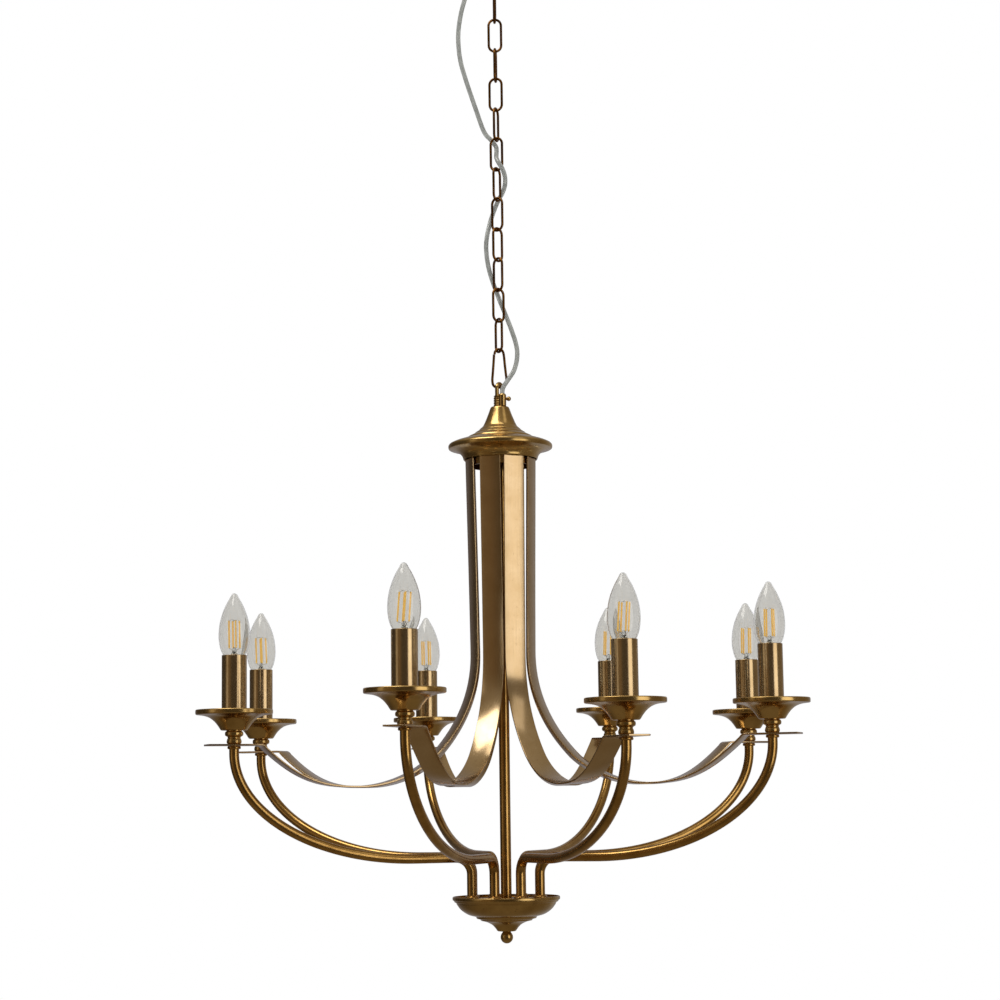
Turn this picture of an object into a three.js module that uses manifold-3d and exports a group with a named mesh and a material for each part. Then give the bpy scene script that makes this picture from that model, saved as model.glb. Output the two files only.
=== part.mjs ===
// Eight-light candle chandelier on a chain, in millimetres, +Z up.
// The origin is on the ceiling, at the middle of the bracket that holds the lamp; everything hangs below it.
import * as THREE from "three";
import { mergeVertices } from "three/addons/utils/BufferGeometryUtils.js";
import Module from "manifold-3d";

const wasm = await Module();
wasm.setup();

// ---------------------------------------------------------------- driving dimensions
const GAP = 0.3; // between pieces that touch
const SLIP = 0.4; // round a piece that passes through a hole

const BRACKET = { length: 92, width: 20, thickness: 3 };
const ROSE = { radius: 55, height: 42, rim: 4, wall: 1.6, nose: 9 };
const LOOP_COLLAR = { radius: 8, height: 4 };
const LOOP = { wire: 4, width: 20, shank: 6 };

const LINK = { wire: 3, width: 18, length: 43, count: 12 };
const LINK_TWIST = -6; // each link is this much short of square to the one above, in degrees
const FIRST_LINK_TURN = 95; // the top link's plane, in degrees from the XZ plane
const WELD = 0.3; // how far the links of one closed pair sink into each other
const QUICK_LINK = { wire: 3, width: 19.8, length: 49.2, topTaper: 0.72 };

const EYE = { wire: 4.8, width: 17, turn: 60, rise: 14.2 };
const BARREL = { radius: 7.2, height: 13.3 };
const GRIP = { x: 3.2, y: -5.6, radius: 4.5, rise: 1.4, depth: 12 };
const CORD_DIAMETER = 5.4;
const THUMB_SCREW = { stem: 3, head: 5.6, reach: 4.2, drop: 4.7 }; // reach: from the stem's end to the ball

const TUBE_RADIUS = 6.25;
const TUBE_BORE = 4.8;

// flare is how much wider the column is at its top; bowl is the straps' lowest point, below the candle tops.
const STRAP = { width: 25, thickness: 2, flare: 3.8, inCap: 8, bowl: 151 };
const COLUMN_GAP = 0.9; // between the inner corners of two straps at the waist
const COLLAR_BELOW_CAP = 8;
const COLLAR_WALL = 2;

const CAP = { height: 63.3, rimRadius: 61.5, neckRadius: 10.7, wall: 1.2 };
const COLUMN_LENGTH = 230; // from the candle tops' level up to the edge of the cap's skirt
const DISH_DEPTH = 278; // from the candle tops' level down to the dish's rim
const DISH = { radius: 62.1, height: 39.7, wall: 1.6, rim: 5.5, bowl: 57.6, recess: 3 };
const COVER_THICKNESS = 1.6; // the plate in the dish
const FINIAL = { radius: 7.1, stud: 3, studLength: 14, flat: 0.6 }; // flat: cut off the top of the ball

const CANDLE_CIRCLE = 320.8;
const CANDLE = { sleeveRadius: 14, sleeveWall: 1.2, sleeveLength: 77 };
const HOLDER = { sink: 7, bore: 7.4, depth: 34 };
const BULB = { radius: 17.5, height: 69.3, mouthGap: 0.4, capRadius: 6.9, capLength: 24, neckSink: 6 };
const PAN = { radius: 43.1, height: 23.2, rim: 5, foot: 14.4, wall: 1.5, seat: 8.2 };
const KNUCKLE = { height: 14.9, flange: 11, neck: 6.75, bulge: 8.7 };
const NIPPLE = { radius: 4, length: 8 };
const TAB_HALF = 31.5; // how far a strap's flat tab runs to each side of its candle
const ARM = { radius: 5.5, ferrule: 7.5, ferruleHeight: 3.2, footRadius: 42, footCollar: 8.2 };
const ARM_LEVEL = -233.2; // height of the arms' flat run, from the candle tops' level

// Each arm's direction seen from above, in degrees, and how far its candle stands above the common level.
const ARMS = [
  { name: "1", azimuth: -159.5, lift: -3.7 },
  { name: "2", azimuth: -108.5, lift: 8.6 },
  { name: "3", azimuth: -66.9, lift: -4.0 },
  { name: "4", azimuth: -21.9, lift: 1.0 },
  { name: "5", azimuth: 22.1, lift: -2.6 },
  { name: "6", azimuth: 64.8, lift: 8.2 },
  { name: "7", azimuth: 108.2, lift: -0.8 },
  { name: "8", azimuth: 157.3, lift: -6.8 },
];

// The supply cord's middle line, from inside the rose to inside the grip on the hanging loop.
const CORD_ROUTE = [
  [-30, 0, -22],
  [-30, 0, -40],
  [-34, 1, -62],
  [-41, 3, -88],
  [-44.5, 6, -114],
  [-42.6, 8, -142],
  [-36.5, 10, -166],
  [-25.3, 12, -201],
  [-14.8, 12, -232],
  [-6.6, 10.8, -243],
  [-0.6, 8.6, -252],
  [0.2, 4.2, -258],
  [0, 0, -264],
  [0, -4.6, -270],
  [2.4, -9, -277],
  [7, -9, -285],
  [9.8, -4, -293],
  [9.8, 3.6, -301],
  [6.8, 10, -309],
  [1, 12.6, -319],
  [-7, 11.8, -340],
  [-13, 7, -366],
  [-13.4, 6, -386],
  [-9.6, 10, -408],
  [-1, 12.3, -434],
  [7.6, 10.6, -457],
  [15.3, 6, -479],
  [20.6, 2, -498],
  [21.4, -2, -513],
  [17.8, -5.4, -529],
  [10.4, -7, -541],
  [5, -6.6, -549],
  [3.4, -5.75, -554],
  [GRIP.x, GRIP.y, -559],
  [GRIP.x, GRIP.y, -566],
];

// The straps' inner corners nearly meet at the waist, so the waist follows from their width.
const radians = THREE.MathUtils.degToRad;
const turns = ARMS.map(({ azimuth }) => azimuth).sort((a, b) => a - b);
const spacings = turns.map((turn, i) => (i ? turn - turns[i - 1] : turn + 360 - turns.at(-1)));
const closest = radians(Math.min(...spacings));
const waistFace = (STRAP.width + COLUMN_GAP) / 2 / Math.tan(closest / 2) + STRAP.thickness;
const topFace = waistFace + STRAP.flare;

// ---------------------------------------------------------------- finishes
function finish(color, metalness, roughness) {
  return new THREE.MeshStandardMaterial({ color, metalness, roughness });
}

const BRASS = finish(0x8a6a38, 1, 0.35);
const SATIN_BRASS = finish(0xb08a55, 1, 0.42);
const DARK_BRASS = finish(0x6a4b22, 1, 0.4);
const STEEL = finish(0x9a9a98, 1, 0.45);
const CLEAR_PVC = finish(0xb4b8b4, 0, 0.3);
const GLASS = finish(0xd8dcdc, 0, 0.05);
GLASS.transparent = true;
GLASS.opacity = 0.35;

// ---------------------------------------------------------------- shape helpers
// A geometry as a manifold-3d solid, and back.
function toSolid(geometry) {
  const bare = geometry.clone();
  bare.deleteAttribute("normal");
  bare.deleteAttribute("uv");
  const merged = mergeVertices(bare, 1e-4);
  return new wasm.Manifold(
    new wasm.Mesh({
      numProp: 3,
      vertProperties: merged.attributes.position.array,
      triVerts: new Uint32Array(merged.index.array),
    }),
  );
}

function toGeometry(solid) {
  const mesh = solid.getMesh();
  const geometry = new THREE.BufferGeometry();
  geometry.setAttribute("position", new THREE.BufferAttribute(mesh.vertProperties, 3));
  geometry.setIndex(new THREE.BufferAttribute(mesh.triVerts, 1));
  return geometry;
}

const join = (...pieces) => toGeometry(pieces.map(toSolid).reduce((whole, next) => whole.add(next)));

function cut(geometry, ...tools) {
  const rest = tools.map(toSolid).reduce((whole, tool) => whole.subtract(tool), toSolid(geometry));
  return toGeometry(rest);
}

// A shape turned round the Z axis, from a profile of [radius, height] points that runs up its outside.
function turned(profile, segments) {
  const points = profile.map(([radius, height]) => new THREE.Vector2(radius, height));
  return new THREE.LatheGeometry(points, segments).rotateX(Math.PI / 2);
}

// A round bar along Z, between two heights.
function bar(radius, bottom, top, segments = 16) {
  const height = top - bottom;
  const geometry = new THREE.CylinderGeometry(radius, radius, height, segments);
  return geometry.rotateX(Math.PI / 2).translate(0, 0, bottom + height / 2);
}

// A line of points moved sideways by a distance, to the left of the way it runs.
function offset(points, distance) {
  return points.map(([x, y], i) => {
    const [x0, y0] = points[Math.max(i - 1, 0)];
    const [x1, y1] = points[Math.min(i + 1, points.length - 1)];
    const length = Math.hypot(x1 - x0, y1 - y0);
    return [x - (distance * (y1 - y0)) / length, y + (distance * (x1 - x0)) / length];
  });
}

// The closed profile of a spun sheet: its outside runs upwards, and the wall is inside it.
function sheetProfile(outside, wall) {
  return [...outside, ...offset(outside, wall).reverse(), outside[0]];
}

const shift = (profile, rise) => profile.map(([radius, height]) => [radius, height + rise]);

// A bent wire ring in the XZ plane: a torus whose upper and lower halves are pulled apart to the length.
// The taper narrows the ring towards its top.
function wireLink({ wire, width, length, topTaper = 1 }) {
  const ringRadius = (width - wire) / 2;
  const pull = (length - width) / 2;
  const geometry = new THREE.TorusGeometry(ringRadius, wire / 2, 6, 10).rotateZ(Math.PI / 2);
  const position = geometry.attributes.position;
  for (let i = 0; i < position.count; i += 1) {
    const angle = Math.atan2(position.getY(i), position.getX(i));
    const rise = Math.sign(Math.sin(angle)) * pull;
    const share = (1 + (ringRadius * Math.sin(angle) + rise) / (ringRadius + pull)) / 2;
    const narrowing = (1 - topTaper) * share * ringRadius * Math.cos(angle);
    position.setXY(i, position.getX(i) - narrowing, position.getY(i) + rise);
  }
  return geometry.rotateX(Math.PI / 2);
}

// A planar outline, [radius, height], as a curve in the XZ plane that a tube can follow.
class ProfileCurve extends THREE.Curve {
  constructor(path) {
    super();
    this.path = path;
  }

  getPoint(t) {
    const point = this.path.getPoint(t);
    return new THREE.Vector3(point.x, 0, point.y);
  }
}

// A round tube of so many sides along a curve.
function tubeAlong(curve, radius, sides, steps) {
  const corners = Array.from({ length: sides }, (_, i) => (i / sides) * 2 * Math.PI);
  const section = new THREE.Shape(
    corners.map((angle) => new THREE.Vector2(radius * Math.cos(angle), radius * Math.sin(angle))),
  );
  return new THREE.ExtrudeGeometry(section, { steps, extrudePath: curve });
}

// A plate along Z with a round outline and round holes, each hole {x, y, radius}.
function roundPlate(radius, bottom, thickness, holes, segments) {
  const turn = 2 * Math.PI;
  const outline = new THREE.Shape().absarc(0, 0, radius, 0, turn);
  outline.holes = holes.map((hole) => new THREE.Path().absarc(hole.x, hole.y, hole.radius, 0, turn, true));
  const geometry = new THREE.ExtrudeGeometry(outline, {
    depth: thickness,
    bevelEnabled: false,
    curveSegments: segments,
  });
  return geometry.translate(0, 0, bottom);
}

function piece(name, geometry, material) {
  const mesh = new THREE.Mesh(geometry, material);
  mesh.name = name;
  return mesh;
}

// ---------------------------------------------------------------- ceiling fitting
function ceilingBracket() {
  const { length, width, thickness } = BRACKET;
  return new THREE.BoxGeometry(length, width, thickness).translate(0, 0, -thickness / 2);
}

const roseHole = { radius: LOOP.shank / 2 + SLIP };
const cordHole = CORD_DIAMETER / 2 + SLIP;

function ceilingRose() {
  const { radius, height, rim, wall, nose } = ROSE;
  const dome = [3, 2, 1, 0].map((i) => {
    const angle = (i / 3) * (Math.PI / 2);
    return [nose + (radius - nose) * Math.cos(angle), -rim - (height - rim) * Math.sin(angle)];
  });
  const outside = [[roseHole.radius, -height], ...dome, [radius, 0]];
  const shell = turned(sheetProfile(outside, wall), 24);
  const [x, y] = CORD_ROUTE[0];
  return cut(shell, bar(cordHole, -height, -BRACKET.thickness, 16).translate(x, y, 0));
}

// The eye bolt: its collar bears on the rose, its shank reaches up to the bracket.
const loopWireHeight = -ROSE.height - GAP - LOOP_COLLAR.height - LOOP.width + LOOP.wire / 2 + 1;

function ceilingLoop() {
  const ring = new THREE.TorusGeometry((LOOP.width - LOOP.wire) / 2, LOOP.wire / 2, 6, 14)
    .rotateZ(Math.PI / 2)
    .rotateX(Math.PI / 2)
    .translate(0, 0, loopWireHeight + (LOOP.width - LOOP.wire) / 2);
  const collarTop = -ROSE.height - GAP;
  const collar = bar(LOOP_COLLAR.radius, collarTop - LOOP_COLLAR.height, collarTop, 16);
  const shank = bar(LOOP.shank / 2, collarTop - 1, -BRACKET.thickness - GAP, 12);
  return join(ring, collar, shank);
}

// ---------------------------------------------------------------- chain
// Links hang from the ceiling loop; the second and third are closed together, and so on in pairs.
function chainLinks() {
  const links = [];
  let wireHeight = loopWireHeight + LOOP.wire / 2 + GAP + LINK.wire / 2;
  for (let i = 1; i <= LINK.count; i += 1) {
    const turn = FIRST_LINK_TURN + (i - 1) * (90 + LINK_TWIST);
    const middle = wireHeight - (LINK.length - LINK.wire) / 2;
    const geometry = wireLink(LINK).rotateZ(radians(turn)).translate(0, 0, middle);
    links.push({ geometry, bottomWire: wireHeight - (LINK.length - LINK.wire) });
    const welded = i % 2 === 0 && i < LINK.count;
    wireHeight = links.at(-1).bottomWire + LINK.wire + (welded ? -WELD : GAP);
  }
  return links;
}

const links = chainLinks();
const quickLinkTop = links.at(-1).bottomWire + (LINK.wire + QUICK_LINK.wire) / 2 + GAP;
const quickLinkBottom = quickLinkTop - QUICK_LINK.length + QUICK_LINK.wire;

function chainPieces() {
  const pieces = [piece("chain_link_1", links[0].geometry, DARK_BRASS)];
  for (let i = 1; i + 1 < LINK.count - 1; i += 2) {
    const pair = join(links[i].geometry, links[i + 1].geometry);
    pieces.push(piece(`chain_links_${i + 1}_${i + 2}`, pair, DARK_BRASS));
  }
  pieces.push(piece(`chain_link_${LINK.count}`, links.at(-1).geometry, DARK_BRASS));
  return pieces;
}

function quickLink() {
  return wireLink(QUICK_LINK).translate(0, 0, (quickLinkTop + quickLinkBottom) / 2);
}

// ---------------------------------------------------------------- lamp body
// Heights in the lamp body are from the level of the candle sleeves' tops.
const skirtEdge = COLUMN_LENGTH;
const neckTop = skirtEdge + CAP.height;
const barrelBottom = neckTop + GAP;
const barrelTop = barrelBottom + BARREL.height;
const eyeWireTop = barrelTop + EYE.rise;
const lampLevel = quickLinkBottom + (QUICK_LINK.wire + EYE.wire) / 2 + GAP - eyeWireTop;

function hangingLoop() {
  const ringRadius = (EYE.width - EYE.wire) / 2;
  const eye = new THREE.TorusGeometry(ringRadius, EYE.wire / 2, 8, 14)
    .rotateZ(Math.PI / 2)
    .rotateX(Math.PI / 2)
    .rotateZ(radians(EYE.turn))
    .translate(0, 0, eyeWireTop - ringRadius);
  const barrel = bar(BARREL.radius, barrelBottom, barrelTop, 16);
  const gripTop = barrelTop + GRIP.rise;
  const grip = bar(GRIP.radius, barrelBottom, gripTop, 16).translate(GRIP.x, GRIP.y, 0);
  const cordBore = bar(cordHole, gripTop - GRIP.depth, gripTop + 1, 16).translate(GRIP.x, GRIP.y, 0);
  const screwBore = bar(THUMB_SCREW.stem / 2 + SLIP, 0, BARREL.radius * 2, 10)
    .rotateY(Math.PI / 2)
    .translate(GRIP.x, GRIP.y, barrelTop - THUMB_SCREW.drop);
  return cut(join(eye, barrel, grip), cordBore, screwBore);
}

function thumbScrew() {
  const start = GRIP.x + CORD_DIAMETER / 2 + SLIP + GAP;
  const middle = start + THUMB_SCREW.reach;
  const radius = THUMB_SCREW.head / 2;
  const stem = bar(THUMB_SCREW.stem / 2, start, middle - radius / 2, 10);
  const head = new THREE.SphereGeometry(radius, 10, 8).translate(0, 0, middle);
  return join(stem, head).rotateY(Math.PI / 2).translate(0, GRIP.y, barrelTop - THUMB_SCREW.drop);
}

// The straps' corners stand further out than the middle of their faces, and clear the cap's flat facets.
const CAP_SIDES = 20;
const strapCorner = Math.hypot(topFace, STRAP.width / 2);
const skirtInside = (strapCorner + GAP) / Math.cos(Math.PI / CAP_SIDES);

function topCap() {
  const skirt = skirtInside + CAP.wall;
  const rim = CAP.rimRadius;
  const neck = CAP.neckRadius;
  const outside = [
    [skirt, 0],
    [skirt + 1.6, 5],
    [skirt + 6, 10.4],
    [rim - 3, 11.6],
    [rim, 15],
    [rim - 1.2, 18.6],
    [rim - 6.3, 21.4],
    [rim - 16, 24.4],
    [neck + 24, CAP.height - 34.4],
    [neck + 13.4, CAP.height - 26.6],
    [neck + 7.4, CAP.height - 19.2],
    [neck + 3.4, CAP.height - 9.7],
    [neck, CAP.height],
    [TUBE_RADIUS + SLIP, CAP.height],
  ];
  return turned(shift(sheetProfile(outside, CAP.wall), skirtEdge), CAP_SIDES);
}

// The straps are screwed to this ring; its top plate sits on the centre tube.
const collarOutside = topFace - STRAP.thickness - GAP;

function strapCollar() {
  const bottom = skirtEdge - COLLAR_BELOW_CAP;
  const top = skirtEdge + STRAP.inCap;
  const profile = [
    [collarOutside - COLLAR_WALL, bottom],
    [collarOutside, bottom],
    [collarOutside, top],
    [TUBE_RADIUS + SLIP, top],
    [TUBE_RADIUS + SLIP, top - COLLAR_WALL],
    [collarOutside - COLLAR_WALL, top - COLLAR_WALL],
    [collarOutside - COLLAR_WALL, bottom],
  ];
  return turned(profile, 24);
}

const dishRim = -DISH_DEPTH;
const dishBottom = dishRim - DISH.height;
const coverBottom = dishRim - DISH.recess;

function centreTube() {
  const bottom = dishBottom + DISH.wall + GAP;
  const profile = [
    [TUBE_BORE, bottom],
    [TUBE_RADIUS, bottom],
    [TUBE_RADIUS, neckTop],
    [TUBE_BORE, neckTop],
    [TUBE_BORE, bottom],
  ];
  return turned(profile, 12);
}

function dish() {
  const { radius, height, rim, bowl } = DISH;
  const outside = [
    [FINIAL.stud + SLIP, 0],
    [10.6, 0],
    [13.6, 3.8],
    [18.2, 8.8],
    [27, 13],
    [34.4, 14.8],
    [bowl - 21.4, 17.2],
    [bowl - 12, 20.2],
    [bowl - 5, 25],
    [bowl, 31.6],
    [radius, height - rim + 0.6],
    [radius, height],
  ];
  return turned(shift(sheetProfile(outside, DISH.wall), dishRim - height), 20);
}

const armPlaces = ARMS.map(({ azimuth }) => ({
  x: ARM.footRadius * Math.cos(radians(azimuth)),
  y: ARM.footRadius * Math.sin(radians(azimuth)),
}));

// The plate in the dish: the arms' feet stand through it.
function dishCover() {
  const radius = DISH.bowl - DISH.wall - GAP;
  const armHoles = armPlaces.map(({ x, y }) => ({ x, y, radius: ARM.radius + SLIP }));
  const holes = [{ x: 0, y: 0, radius: TUBE_RADIUS + SLIP }, ...armHoles];
  return roundPlate(radius, coverBottom - COVER_THICKNESS, COVER_THICKNESS, holes, 6);
}

function finial() {
  const ball = new THREE.SphereGeometry(FINIAL.radius, 14, 10)
    .rotateX(Math.PI / 2)
    .translate(0, 0, dishBottom - GAP - FINIAL.radius + FINIAL.flat);
  const stud = bar(FINIAL.stud, dishBottom - 4, dishBottom - GAP + FINIAL.studLength, 10);
  const trim = bar(FINIAL.radius, dishBottom - GAP, dishBottom + FINIAL.radius, 14);
  return join(cut(ball, trim), stud);
}

// ---------------------------------------------------------------- candle parts
// Heights in a candle are from its own sleeve's top; +X points away from the middle of the lamp.
const panFoot = -CANDLE.sleeveLength - PAN.seat + PAN.wall;
const knuckleBottom = panFoot - KNUCKLE.height;
const tabTop = knuckleBottom - GAP;
const tabMiddle = tabTop - STRAP.thickness / 2;
const ferruleTop = tabTop - STRAP.thickness - GAP;

function dripPan() {
  const { radius, height, rim, foot, wall } = PAN;
  const edge = height - rim;
  const outside = [
    [foot, 0],
    [foot + 2.2, edge - 12.6],
    [foot + 6.2, edge - 7.4],
    [foot + 13, edge - 2.9],
    [radius - 3, edge - 0.7],
    [radius, edge + 1],
    [radius - 0.4, height],
  ];
  const inside = offset(outside.slice(0, -1), wall).reverse();
  const knuckle = [
    [0, -KNUCKLE.height - NIPPLE.length],
    [NIPPLE.radius, -KNUCKLE.height - NIPPLE.length],
    [NIPPLE.radius, -KNUCKLE.height],
    [KNUCKLE.bulge - 1.2, -KNUCKLE.height],
    [KNUCKLE.bulge, -KNUCKLE.height + 1.6],
    [KNUCKLE.bulge, -8.6],
    [KNUCKLE.neck, -7],
    [KNUCKLE.neck, -4.6],
    [KNUCKLE.flange, -4],
    [KNUCKLE.flange, -0.6],
  ];
  const floor = [[0, wall]];
  return turned(shift([...knuckle, ...outside, ...inside, ...floor], panFoot), 12);
}

// The sleeve and the lampholder in it, which the bulb's cap goes down into.
function candleSleeve() {
  const inside = CANDLE.sleeveRadius - CANDLE.sleeveWall;
  const profile = [
    [0, -CANDLE.sleeveLength],
    [CANDLE.sleeveRadius, -CANDLE.sleeveLength],
    [CANDLE.sleeveRadius, 0],
    [inside, 0],
    [inside, -HOLDER.sink],
    [HOLDER.bore, -HOLDER.sink],
    [HOLDER.bore, -HOLDER.depth],
    [0, -HOLDER.depth],
  ];
  return turned(profile, 12);
}

function bulb() {
  const { radius, height, mouthGap, capRadius, capLength, neckSink } = BULB;
  const mouth = CANDLE.sleeveRadius - CANDLE.sleeveWall - mouthGap;
  const profile = [
    [0, -neckSink - capLength],
    [capRadius, -neckSink - capLength + 4],
    [capRadius, -neckSink],
    [mouth, 0],
    [0.95 * radius, 0.17 * height],
    [radius, 0.32 * height],
    [0.9 * radius, 0.56 * height],
    [0.62 * radius, 0.77 * height],
    [0.28 * radius, 0.94 * height],
    [0, height],
  ];
  return turned(profile, 10);
}

// ---------------------------------------------------------------- straps and arms
// Side view of a strap's middle line, [radius, height], from the cap down and out to the tab's end.
function strapLine(lift) {
  const tabStart = CANDLE_CIRCLE - TAB_HALF;
  const tab = tabMiddle + lift;
  const bowl = CANDLE_CIRCLE - 144;
  const waist = waistFace - STRAP.thickness / 2;
  const lowest = -STRAP.bowl;
  const line = new THREE.Path();
  line.moveTo(topFace - STRAP.thickness / 2, skirtEdge + STRAP.inCap - 1);
  line.lineTo(waist, 5);
  line.bezierCurveTo(waist - 1, -42, waist + 18, -84, waist + 54, -119);
  line.bezierCurveTo(waist + 78, -140, bowl - 29, lowest, bowl, lowest);
  line.bezierCurveTo(bowl + 44, lowest, tabStart - 44, tab - 41, tabStart - 3, tab - 4);
  line.quadraticCurveTo(tabStart, tab, tabStart + 4, tab);
  line.lineTo(CANDLE_CIRCLE + TAB_HALF, tab);
  return line.getPoints(6).map(({ x, y }) => [x, y]);
}

function strap(lift) {
  const middle = strapLine(lift);
  const half = STRAP.thickness / 2;
  const outline = [...offset(middle, half), ...offset(middle, -half).reverse()];
  const shape = new THREE.Shape(outline.map(([x, y]) => new THREE.Vector2(x, y)));
  const sheet = new THREE.ExtrudeGeometry(shape, { depth: STRAP.width, bevelEnabled: false })
    .translate(0, 0, -STRAP.width / 2)
    .rotateX(Math.PI / 2);
  const hole = bar(NIPPLE.radius + SLIP, tabMiddle + lift - 5, tabMiddle + lift + 5, 12);
  return cut(sheet, hole.translate(CANDLE_CIRCLE, 0, 0));
}

// Middle line of an arm's tube: up out of the dish, out along the flat run, and up under the candle.
function armLine(lift) {
  const bend = 19;
  const foot = coverBottom - COVER_THICKNESS - 4;
  const sweepStart = ARM.footRadius + 68;
  const end = ferruleTop + lift - ARM.ferruleHeight / 2;
  const sweepTop = end - 7;
  const line = new THREE.Path();
  line.moveTo(ARM.footRadius, foot);
  line.lineTo(ARM.footRadius, ARM_LEVEL - bend);
  line.absarc(ARM.footRadius + bend, ARM_LEVEL - bend, bend, Math.PI, Math.PI / 2, true);
  line.lineTo(sweepStart, ARM_LEVEL);
  const across = CANDLE_CIRCLE - sweepStart;
  line.absellipse(sweepStart, sweepTop, across, sweepTop - ARM_LEVEL, -Math.PI / 2, 0, false);
  line.lineTo(CANDLE_CIRCLE, end);
  return new ProfileCurve(line);
}

function arm(lift) {
  const tube = tubeAlong(armLine(lift), ARM.radius, 8, 18);
  const top = ferruleTop + lift;
  const ferrule = bar(ARM.ferrule, top - ARM.ferruleHeight, top, 12).translate(CANDLE_CIRCLE, 0, 0);
  const collarFoot = coverBottom + GAP;
  const collar = bar(ARM.footCollar, collarFoot, collarFoot + 4, 12).translate(ARM.footRadius, 0, 0);
  const bore = bar(NIPPLE.radius + SLIP, top - NIPPLE.length, top + 1, 10).translate(CANDLE_CIRCLE, 0, 0);
  return cut(join(tube, ferrule, collar), bore);
}

// ---------------------------------------------------------------- supply cord
function cord() {
  const curve = new THREE.CatmullRomCurve3(CORD_ROUTE.map((point) => new THREE.Vector3(...point)));
  return tubeAlong(curve, CORD_DIAMETER / 2, 8, 48);
}

// ---------------------------------------------------------------- assembly
const chandelier = new THREE.Group();
chandelier.add(
  piece("ceiling_bracket", ceilingBracket(), STEEL),
  piece("ceiling_rose", ceilingRose(), BRASS),
  piece("ceiling_loop", ceilingLoop(), DARK_BRASS),
  ...chainPieces(),
  piece("quick_link", quickLink(), DARK_BRASS),
  piece("cord", cord(), CLEAR_PVC),
);

const lamp = new THREE.Group();
lamp.position.z = lampLevel;
lamp.add(
  piece("hanging_loop", hangingLoop(), BRASS),
  piece("thumb_screw", thumbScrew(), BRASS),
  piece("top_cap", topCap(), BRASS),
  piece("strap_collar", strapCollar(), DARK_BRASS),
  piece("centre_tube", centreTube(), DARK_BRASS),
  piece("dish", dish(), BRASS),
  piece("dish_cover", dishCover(), SATIN_BRASS),
  piece("finial", finial(), BRASS),
);
chandelier.add(lamp);

for (const { name, azimuth, lift } of ARMS) {
  const side = new THREE.Group();
  side.rotation.z = radians(azimuth);
  side.add(piece(`arm_${name}`, arm(lift), BRASS), piece(`strap_${name}`, strap(lift), SATIN_BRASS));
  const candle = new THREE.Group();
  candle.position.set(CANDLE_CIRCLE, 0, lift);
  candle.add(
    piece(`drip_pan_${name}`, dripPan(), BRASS),
    piece(`candle_sleeve_${name}`, candleSleeve(), SATIN_BRASS),
    piece(`bulb_${name}`, bulb(), GLASS),
  );
  side.add(candle);
  lamp.add(side);
}

export default chandelier;
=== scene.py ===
"""Looks of the eight-light chandelier: spun brass, brushed straps, bent tube arms and clear candle bulbs.

Sizes are in millimetres and MM turns them to metres. Places come from the frame.
"""
from math import atan2, cos, hypot, pi, radians, sin

import bmesh
import bpy
from mathutils import Matrix, Vector


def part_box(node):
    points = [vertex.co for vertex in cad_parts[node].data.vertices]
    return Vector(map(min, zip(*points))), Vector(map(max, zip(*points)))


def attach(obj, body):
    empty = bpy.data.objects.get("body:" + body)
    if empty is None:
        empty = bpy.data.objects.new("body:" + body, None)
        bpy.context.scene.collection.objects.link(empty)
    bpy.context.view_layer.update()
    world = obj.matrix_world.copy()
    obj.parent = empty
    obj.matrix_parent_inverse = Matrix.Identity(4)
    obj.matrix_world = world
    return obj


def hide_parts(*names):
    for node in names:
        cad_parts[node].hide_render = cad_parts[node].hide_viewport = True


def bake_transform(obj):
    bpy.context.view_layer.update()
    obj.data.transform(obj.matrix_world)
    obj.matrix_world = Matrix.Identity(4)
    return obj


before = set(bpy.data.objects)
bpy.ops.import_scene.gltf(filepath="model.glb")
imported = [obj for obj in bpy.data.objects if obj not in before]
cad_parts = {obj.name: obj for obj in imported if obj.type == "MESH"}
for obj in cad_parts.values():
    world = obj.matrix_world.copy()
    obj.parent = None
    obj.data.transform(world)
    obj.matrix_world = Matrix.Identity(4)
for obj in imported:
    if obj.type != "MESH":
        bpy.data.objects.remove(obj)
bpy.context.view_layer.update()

MM = 0.001
scene = bpy.context.scene


def place(node):
    """Lowest corner, highest corner and middle of a node, in millimetres."""
    low, high = (Vector(corner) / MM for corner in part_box(node))
    return low, high, (low + high) / 2


CAP_LOW, CAP_HIGH, _ = place("top_cap")
DISH_LOW, DISH_HIGH, _ = place("dish")
# The candle sleeves' tops are about this far below the cap, and LEVEL is their common height.
COLUMN_LENGTH = 230
LEVEL = CAP_LOW.z - COLUMN_LENGTH

# ------------------------------------------------------------------ camera
# The camera stands in front and a little below LEVEL; its turns are in radians and its lens in millimetres.
CAMERA_DISTANCE = 2624
CAMERA_DROP = 165.6
CAMERA_PITCH = 0.1318
CAMERA_ROLL = -0.01327
CAMERA_YAW = 0.00046
LENS = 80.85


def make_camera():
    data = bpy.data.cameras.new("camera")
    data.lens = LENS
    data.sensor_width = 36
    camera = bpy.data.objects.new("camera", data)
    scene.collection.objects.link(camera)
    turn = Matrix.Rotation(CAMERA_YAW, 4, "Z") @ Matrix.Rotation(pi / 2 + CAMERA_PITCH, 4, "X")
    turn = turn @ Matrix.Rotation(CAMERA_ROLL, 4, "Z")
    spot = Vector((0, -CAMERA_DISTANCE, LEVEL - CAMERA_DROP)) * MM
    camera.matrix_world = Matrix.Translation(spot) @ turn
    scene.camera = camera


make_camera()

# ------------------------------------------------------------------ materials


def linear(code, alpha=1.0):
    """An sRGB hex colour as linear RGBA."""
    parts = [int(code[i:i + 2], 16) / 255 for i in (0, 2, 4)]
    return [c / 12.92 if c <= 0.04045 else ((c + 0.055) / 1.055) ** 2.4 for c in parts] + [alpha]


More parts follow.
